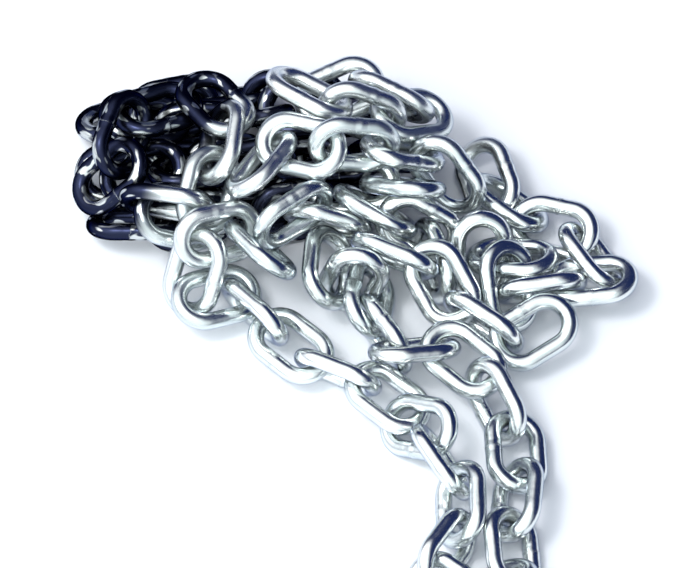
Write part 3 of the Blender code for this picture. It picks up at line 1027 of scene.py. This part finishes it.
@dataclass(frozen=True)
class ZincFinish:
    """Zinc plating: its tints, its gloss, and how uneven it is, with painted shade, painted glints and
    a painted navy reflection at the edges.
    """

    name: str
    light_tint: Triple = (0.92, 0.93, 0.90)
    deep_tint: Triple = (0.62, 0.68, 0.68)
    weld_tint: Triple = (0.58, 0.63, 0.64)
    # Navy tint of the grazing reflections: the reflections are real, their navy is a painted
    # reflection of dark surroundings.
    painted_edge_reflection_tint: Triple = (0.30, 0.34, 0.50)
    # Tints of the painted shade, for the face and for the grazing edges.
    painted_shade_tint: Triple = (0.020, 0.024, 0.050)
    painted_shade_edge_tint: Triple = (0.04, 0.05, 0.10)
    tone_share: float = 0.45
    streak_tinting: Ramp = Ramp(0.35, 0.0, 0.75, 0.75)
    weld_tinting: Ramp = Ramp(0.2, 0.0, 1.0, 0.5)
    streak_gloss: Ramp = Ramp(0.3, 0.14, 0.75, 0.30)
    weld_gloss: Ramp = Ramp(0.3, 0.0, 1.0, 0.8)
    weld_roughness: float = 0.30
    dulling: float = 0.08
    streaks: Pattern = Pattern(620.0, 3.0, 0.000040)
    streak_stretch: float = 0.10
    ripples: Pattern = Pattern(190.0, 2.0, 0.00012)
    specks: Pattern = Pattern(2600.0, 2.0, 0.000010)
    # Painted glints: scattered spots where the painted shade is mostly lifted, so the plating keeps
    # its bright tint there.
    painted_glints: Pattern = Pattern(330.0, 1.0)
    glint_stretch: float = 0.35
    glint_shading: Ramp = Ramp(0.56, 1.0, 0.61, 0.25)

    def build(self) -> bpy.types.Material:
        """Build the finish.

        Returns:
            The material.
        """
        material = bpy.data.materials.new(self.name)
        material.use_nodes = True
        nodes = Nodes(material.node_tree)
        shader = material.node_tree.nodes["Principled BSDF"]
        shader.inputs["Metallic"].default_value = 1.0
        streaks = nodes.noise(self._along_wire(nodes, self.streak_stretch), self.streaks)
        self._colour(nodes, shader, streaks)
        self._gloss(nodes, shader, streaks)
        self._relief(nodes, shader, streaks)
        return material

    @staticmethod
    def _along_wire(nodes: Nodes, stretch: float) -> Socket:
        """Find places on the wire, drawn out along it and unlike from link to link.

        Args:
            nodes: The material's nodes.
            stretch: Scale along the wire, as a share of that across it.

        Returns:
            The drawn-out place.
        """
        grain = nodes.attribute("grain", "Vector")
        drawn = nodes.vector_maths("MULTIPLY", grain, (1.0, 1.0, stretch))
        return nodes.vector_maths("ADD", drawn, nodes.attribute("tone"))

    def _depth_of_painted_shade(self, nodes: Nodes) -> Socket:
        """Find how dark the plating is painted: the painted shade, lifted in scattered painted glints.

        Args:
            nodes: The material's nodes.

        Returns:
            The depth, from 0 to 1.
        """
        painted_glints = nodes.noise(self._along_wire(nodes, self.glint_stretch), self.painted_glints)
        left = nodes.ramp(painted_glints, self.glint_shading)
        return nodes.maths("MULTIPLY", nodes.attribute("shade"), left)

    def _colour(self, nodes: Nodes, shader: bpy.types.ShaderNode, streaks: Socket) -> None:
        """Tint the plating by streak and by link, greyer at the weld, and darken it with the painted
        shade.

        Args:
            nodes: The material's nodes.
            shader: The surface.
            streaks: The pattern of streaks.
        """
        streaked = nodes.ramp(streaks, self.streak_tinting)
        depth = nodes.maths("MULTIPLY_ADD", nodes.attribute("tone"), self.tone_share, streaked)
        depth.node.use_clamp = True
        tint = nodes.blend(depth, self.light_tint, self.deep_tint)
        seam = nodes.ramp(nodes.attribute("weld"), self.weld_tinting)
        tint = nodes.blend(seam, tint, self.weld_tint)
        # Painted shade: the base colour goes toward a near-black tint.
        shade = self._depth_of_painted_shade(nodes)
        nodes.put(nodes.blend(shade, tint, self.painted_shade_tint), shader.inputs["Base Color"])
        # The grazing edges get the navy painted reflection, darker still in the painted shade.
        edge = nodes.blend(shade, self.painted_edge_reflection_tint, self.painted_shade_edge_tint)
        nodes.put(edge, shader.inputs["Specular Tint"])

    def _gloss(self, nodes: Nodes, shader: bpy.types.ShaderNode, streaks: Socket) -> None:
        """Give the plating its gloss, duller in the streaks, up in the heap and at the weld.

        Args:
            nodes: The material's nodes.
            shader: The surface.
            streaks: The pattern of streaks.
        """
        plain = nodes.ramp(streaks, self.streak_gloss)
        worn = nodes.maths("MULTIPLY_ADD", nodes.attribute("dullness"), self.dulling, plain)
        seam = nodes.tree.nodes.new("ShaderNodeMix")
        seam.data_type = "FLOAT"
        nodes.put(nodes.ramp(nodes.attribute("weld"), self.weld_gloss), seam.inputs["Factor"])
        nodes.put(worn, seam.inputs["A"])
        nodes.put(self.weld_roughness, seam.inputs["B"])
        nodes.put(seam.outputs["Result"], shader.inputs["Roughness"])

    def _relief(self, nodes: Nodes, shader: bpy.types.ShaderNode, streaks: Socket) -> None:
        """Make the surface slightly wavy, streaked and specked.

        Args:
            nodes: The material's nodes.
            shader: The surface.
            streaks: The pattern of streaks.
        """
        place = nodes.tree.nodes.new("ShaderNodeTexCoord").outputs["Object"]
        ripples = nodes.noise(place, self.ripples)
        specks = nodes.noise(place, self.specks)
        below = None
        for value, pattern in (
            (ripples, self.ripples), (streaks, self.streaks), (specks, self.specks)
        ):
            bump = nodes.tree.nodes.new("ShaderNodeBump")
            nodes.put(1.0, bump.inputs["Strength"])
            nodes.put(pattern.height, bump.inputs["Distance"])
            nodes.put(value, bump.inputs["Height"])
            if below is not None:
                nodes.put(below, bump.inputs["Normal"])
            below = bump.outputs["Normal"]
        nodes.put(below, shader.inputs["Normal"])


# Both slots have the same plating. Each link's own layer, shade, holds the painted shade that darkens
# it.
FINISHES = {
    Slot.BRIGHT: ZincFinish("bright_zinc"),
    Slot.SHADED: ZincFinish("shaded_zinc"),
}


@dataclass
class VisibleLinks:
    """The links that can be seen, each in the place of its plain solid."""

    nodes: dict[str, bpy.types.Object]
    slots: dict[str, Slot]
    materials: dict[Slot, bpy.types.Material]
    poses: LinkPoses
    maker: LinkMaker
    weld_in_front_every: int = 3

    def build(self) -> list[bpy.types.Object]:
        """Build them all.

        Returns:
            The links.
        """
        links = []
        for number, name in enumerate(self.nodes):
            slot = self.slots[name]
            pose = self.poses.matrix(number)
            if number % self.weld_in_front_every:
                pose = pose @ Matrix.Rotation(math.pi, 4, "Z")
            shape = self.maker.make(pose, number)
            links.append(ChainPiece(f"{name}_link", self.materials[slot], slot).build([shape], name))
        return links


@dataclass
class HiddenLinks:
    """The loose strands inside the heap, in place of its core."""

    chain: HiddenChain
    materials: dict[Slot, bpy.types.Material]
    maker: LinkMaker

    def build(self) -> list[bpy.types.Object]:
        """Build one piece for each strand.

        Returns:
            The strands.
        """
        poses = self.chain.settle()
        material = self.materials[Slot.SHADED]
        strands = []
        for strand in STRANDS:
            numbers = [i for i, name in enumerate(self.chain.names) if name == strand.name]
            shapes = [self.maker.make(poses.matrix(i), i) for i in numbers]
            piece = ChainPiece(strand.name, material, Slot.SHADED)
            strands.append(piece.build(shapes, CORE_NODE))
        return strands


@dataclass(frozen=True)
class View:
    """The photograph's view: its frame, its scale and the direction that it looks in."""

    elevation: float = 57.0
    distance: float = 5.0
    frame_width: int = 693
    frame_height: int = 568
    wire_in_picture: float = 16.9
    origin_column: float = 273.0
    origin_row: float = 170.0
    sensor: float = 36.0
    nearest: float = 0.1
    farthest: float = 20.0

    def build(self, size: LinkSize) -> None:
        """Add the camera.

        Args:
            size: The link's sizes, which give the scale.
        """
        per_pixel = size.wire / self.wire_in_picture
        angle = math.radians(self.elevation)
        toward = Vector((0, -math.cos(angle), math.sin(angle)))
        up = Vector((0, math.sin(angle), math.cos(angle)))
        across = (self.frame_width / 2 - self.origin_column) * per_pixel
        upward = (self.origin_row - self.frame_height / 2) * per_pixel
        target = Vector((across, 0, 0)) + up * upward
        camera = bpy.data.cameras.new("camera")
        camera.sensor_width = self.sensor
        camera.lens = self.sensor * self.distance / (self.frame_width * per_pixel)
        camera.clip_start = self.nearest
        camera.clip_end = self.farthest
        holder = bpy.data.objects.new("camera", camera)
        holder.location = target + toward * self.distance
        holder.rotation_euler = (math.pi / 2 - angle, 0, 0)
        bpy.context.scene.collection.objects.link(holder)
        bpy.context.scene.camera = holder


@dataclass(frozen=True)
class SoftBox:
    """One soft light."""

    name: str
    place: Triple
    width: float
    height: float
    power: float
    colour: Triple = (1.0, 1.0, 1.0)

    def build(self, target: Vector) -> None:
        """Add the light.

        Args:
            target: The point that it is aimed at.
        """
        light = bpy.data.lights.new(self.name, "AREA")
        light.shape = "RECTANGLE"
        light.size = self.width
        light.size_y = self.height
        light.energy = self.power
        light.color = self.colour
        holder = bpy.data.objects.new(self.name, light)
        holder.location = self.place
        away = Vector(self.place) - target
        holder.rotation_euler = away.to_track_quat("Z", "Y").to_euler()
        bpy.context.scene.collection.objects.link(holder)


@dataclass(frozen=True)
class Glow:
    """A soft bright part of the surrounding, round about one direction."""

    way: Triple
    inner: float
    outer: float
    colour: Triple
    strength: float

    def add(self, nodes: Nodes, direction: Socket, total: Socket) -> Socket:
        """Add the glow to the surrounding.

        Args:
            nodes: The surrounding's nodes.
            direction: The direction looked in.
            total: The light so far.

        Returns:
            The light with the glow.
        """
        facing = nodes.vector_maths("DOT_PRODUCT", direction, Vector(self.way).normalized())
        outer = math.cos(math.radians(self.outer))
        inner = math.cos(math.radians(self.inner))
        bright = nodes.ramp(facing, Ramp(outer, 0.0, inner, 1.0), smooth=True)
        light = Vector(self.colour) * self.strength
        return nodes.vector_maths("MULTIPLY_ADD", bright, light, total)


@dataclass(frozen=True)
class Studio:
    """Pale floor, soft light and a surrounding that is dark toward the back and the right."""

    floor_half: float = 3.0
    floor_tint: Triple = (0.91, 0.93, 0.98)
    floor_roughness: float = 0.6
    dark: Triple = (0.012, 0.024, 0.100)
    glows: tuple[Glow, ...] = (
        Glow((-0.50, -0.07, 1.0), 25.0, 53.0, (0.98, 1.0, 0.98), 1.20),
        Glow((-1.0, 0.10, 0.55), 12.0, 42.0, (0.94, 0.98, 1.0), 1.0),
        Glow((-0.3, -1.0, 0.75), 20.0, 68.0, (0.90, 0.97, 0.95), 1.50),
    )
    key: SoftBox = SoftBox("key_light", (-0.42, -0.30, 1.15), 0.30, 0.30, 5.5)
    aim: Triple = (0.03, -0.06, 0.02)

    def build(self) -> None:
        """Build the floor, the light and the surrounding."""
        self._floor()
        self._surrounding()
        self.key.build(Vector(self.aim))
        bpy.context.scene.view_settings.view_transform = "Standard"

    def _floor(self) -> None:
        """Add the floor."""
        shape = bmesh.new()
        bmesh.ops.create_grid(shape, x_segments=1, y_segments=1, size=self.floor_half)
        mesh = bpy.data.meshes.new("floor")
        shape.to_mesh(mesh)
        shape.free()
        floor = bpy.data.objects.new("floor", mesh)
        material = bpy.data.materials.new("floor_white")
        material.use_nodes = True
        shader = material.node_tree.nodes["Principled BSDF"]
        shader.inputs["Base Color"].default_value = (*self.floor_tint, 1.0)
        shader.inputs["Roughness"].default_value = self.floor_roughness
        mesh.materials.append(material)
        bpy.context.scene.collection.objects.link(floor)

    def _surrounding(self) -> None:
        """Make the surrounding from a dark colour and the glows."""
        world = bpy.data.worlds.new("studio")
        bpy.context.scene.world = world
        world.use_nodes = True
        nodes = Nodes(world.node_tree)
        direction = nodes.tree.nodes.new("ShaderNodeTexCoord").outputs["Generated"]
        ground = nodes.tree.nodes.new("ShaderNodeCombineXYZ")
        for value, target in zip(self.dark, ground.inputs):
            nodes.put(value, target)
        total = ground.outputs["Vector"]
        for glow in self.glows:
            total = glow.add(nodes, direction, total)
        nodes.put(total, nodes.tree.nodes["Background"].inputs["Color"])


def main() -> None:
    """Build the looks of the heap."""
    logging.basicConfig(level=logging.INFO, format="%(message)s")
    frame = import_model()
    nodes = {name: frame["nodes"][name] for name in sorted(frame["nodes"]) if name != CORE_NODE}
    slots = {row["node"]: Slot(row["material_slot"]) for row in frame["record"]["subparts"]}
    materials = {slot: finish.build() for slot, finish in FINISHES.items()}
    size = LinkSize()
    poses = NodeReader().read(list(nodes.values()))
    visible = VisibleLinks(nodes, slots, materials, poses, LinkMaker(size, FINE, PAINTED_SHADE))
    hidden = HiddenLinks(HiddenChain(size, poses), materials, LinkMaker(size, PLAIN, HIDDEN_PAINTED_SHADE))
    for piece in visible.build() + hidden.build():
        LOG.info("%s: %d faces", piece.name, len(piece.data.polygons))
    View().build(size)
    Studio().build()


if __name__ == "__main__":
    main()
